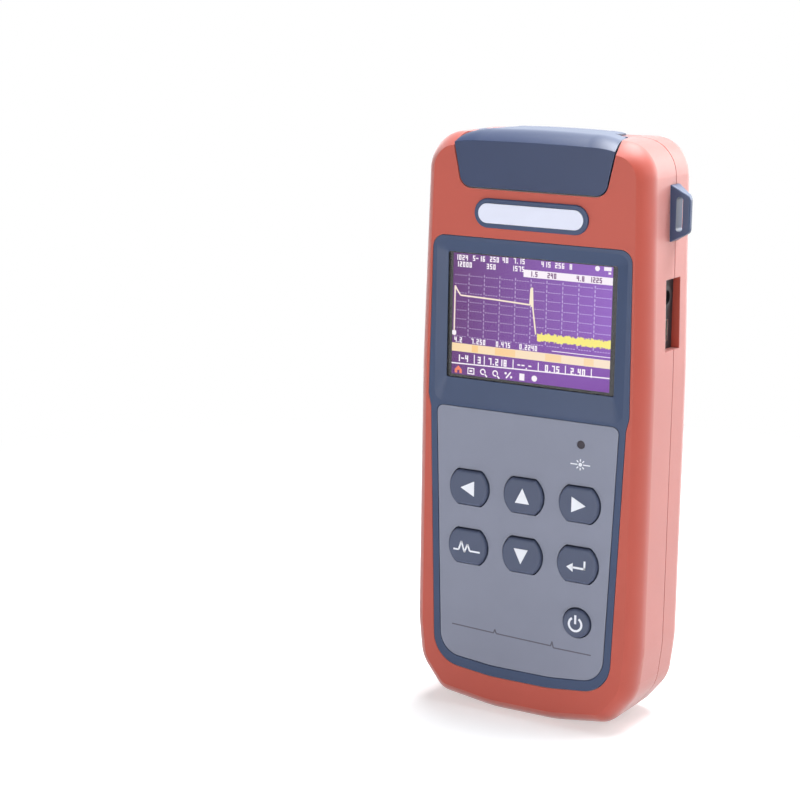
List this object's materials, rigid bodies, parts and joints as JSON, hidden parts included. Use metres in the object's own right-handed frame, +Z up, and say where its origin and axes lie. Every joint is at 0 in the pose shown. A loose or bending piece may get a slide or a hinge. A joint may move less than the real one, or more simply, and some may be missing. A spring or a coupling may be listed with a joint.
{
  "type": "optical time domain reflectometer",
  "caption": "Handheld fibre tester with a hinged dust cover over its optical ports, a colour screen, an arrow keypad and a strap lug.",
  "frame": {"origin": "middle of the flat on the base that the instrument stands on", "axes": "+Z up the instrument's length, its screen faces -Y, +X to the right of someone reading the screen"},
  "size_m": [0.106, 0.0456, 0.2324],
  "materials": {
    "case_orange": "soft matt moulded plastic with a fine grain",
    "blue_grey": "satin moulded plastic",
    "badge_white": "smooth white inlay",
    "screw_steel": "zinc-plated steel",
    "adapter_metal": "nickel-plated brass",
    "lens_clear": "clear hard-coated acrylic",
    "display": "lit colour display",
    "panel_grey": "printed film, fine matt grain",
    "indicator": "dark smoked light pipe",
    "key_slate": "matt silicone rubber",
    "board_green": "solder resist on glass epoxy",
    "black_plastic": "black moulded plastic",
    "module_metal": "tin-plated screening can",
    "battery_wrap": "blue shrink wrap"
  },
  "bodies": {
    "case": {"badge_plate": "badge_white", "badge_surround": "blue_grey", "battery_door": "case_orange", "battery_pack": "battery_wrap", "bezel_frame": "blue_grey", "board_screws": "screw_steel", "board_standoffs": "screw_steel", "buzzer": "black_plastic", "case_screws": "screw_steel", "dc_jack": "black_plastic", "door_screws": "screw_steel", "fibre_spool": "black_plastic", "front_shell": "case_orange", "hinge_pins": "screw_steel", "keypad_board": "board_green", "keypad_overlay": "panel_grey", "lcd_module": "display", "main_board": "board_green", "otdr_adapter": "adapter_metal", "otdr_module": "module_metal", "port_frame": "blue_grey", "rear_shell": "case_orange", "screen_lens": "lens_clear", "socket_panel": "black_plastic", "strap_lug": "blue_grey", "tact_switches": "black_plastic", "usb_socket": "adapter_metal", "vfl_adapter": "adapter_metal", "vfl_indicator": "indicator", "vfl_module": "adapter_metal"},
    "dust_cover": {"dust_cover": "blue_grey"},
    "key_left": {"key_left": "key_slate"},
    "key_up": {"key_up": "key_slate"},
    "key_right": {"key_right": "key_slate"},
    "key_scan": {"key_scan": "key_slate"},
    "key_down": {"key_down": "key_slate"},
    "key_enter": {"key_enter": "key_slate"},
    "key_power": {"key_power": "key_slate"}
  },
  "joints": [
    {"name": "cover_hinge", "type": "hinge", "parent": "case", "child": "dust_cover", "pos_m": [0, 0.0055, 0.2272], "axis": [-1, 0, 0], "range_deg": [0, 130]},
    {"name": "key_left_press", "type": "slide", "parent": "case", "child": "key_left", "axis": [0, 1, 0], "range_m": [0, 0.0008], "stiffness_N_per_m": 1500, "springref_m": -0.0004},
    {"name": "key_up_press", "type": "slide", "parent": "case", "child": "key_up", "axis": [0, 1, 0], "range_m": [0, 0.0008], "stiffness_N_per_m": 1500, "springref_m": -0.0004},
    {"name": "key_right_press", "type": "slide", "parent": "case", "child": "key_right", "axis": [0, 1, 0], "range_m": [0, 0.0008], "stiffness_N_per_m": 1500, "springref_m": -0.0004},
    {"name": "key_scan_press", "type": "slide", "parent": "case", "child": "key_scan", "axis": [0, 1, 0], "range_m": [0, 0.0008], "stiffness_N_per_m": 1500, "springref_m": -0.0004},
    {"name": "key_down_press", "type": "slide", "parent": "case", "child": "key_down", "axis": [0, 1, 0], "range_m": [0, 0.0008], "stiffness_N_per_m": 1500, "springref_m": -0.0004},
    {"name": "key_enter_press", "type": "slide", "parent": "case", "child": "key_enter", "axis": [0, 1, 0], "range_m": [0, 0.0008], "stiffness_N_per_m": 1500, "springref_m": -0.0004},
    {"name": "key_power_press", "type": "slide", "parent": "case", "child": "key_power", "axis": [0, 1, 0], "range_m": [0, 0.0008], "stiffness_N_per_m": 1500, "springref_m": -0.0004}
  ]
}
